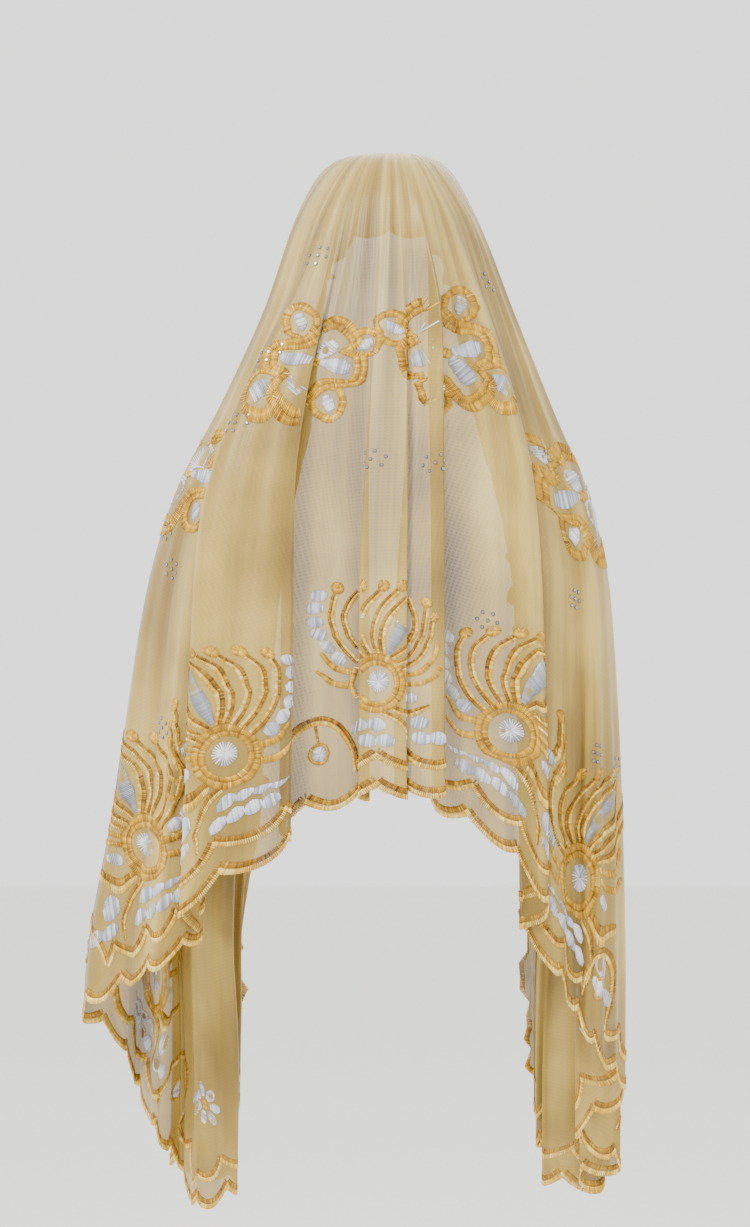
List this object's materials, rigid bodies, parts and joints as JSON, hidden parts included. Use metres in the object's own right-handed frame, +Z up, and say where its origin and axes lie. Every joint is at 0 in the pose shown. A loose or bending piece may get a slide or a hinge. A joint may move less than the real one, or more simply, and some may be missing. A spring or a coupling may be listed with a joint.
{
  "type": "embroidered hijab shawl",
  "caption": "Sheer rectangular shawl worn over the head, draped open in front, with a scalloped edge, stitched fans and flowers.",
  "frame": {"origin": "the point of the cloth that lies on the crown of the head, midway through the cloth", "axes": "+Z up, -Y towards the back of the wearer, +X towards the wearer's right"},
  "size_m": [0.5096, 0.2883, 1.0027],
  "materials": {
    "sheer_cloth": "sheer gold organza",
    "gold_thread": "gold thread embroidery",
    "white_thread": "white thread embroidery"
  },
  "bodies": {
    "root": {"veil_cloth": "sheer_cloth", "fan_motif_1": "gold_thread", "fan_motif_2": "gold_thread", "fan_motif_3": "gold_thread", "fan_motif_4": "gold_thread", "fan_motif_5": "gold_thread", "fan_motif_6": "gold_thread", "fan_motif_7": "gold_thread", "flower_outline_1": "gold_thread", "flower_outline_2": "gold_thread", "flower_outline_3": "gold_thread", "flower_outline_4": "gold_thread", "flower_petals_1": "white_thread", "flower_petals_2": "white_thread", "flower_petals_3": "white_thread", "flower_petals_4": "white_thread"}
  },
  "joints": []
}
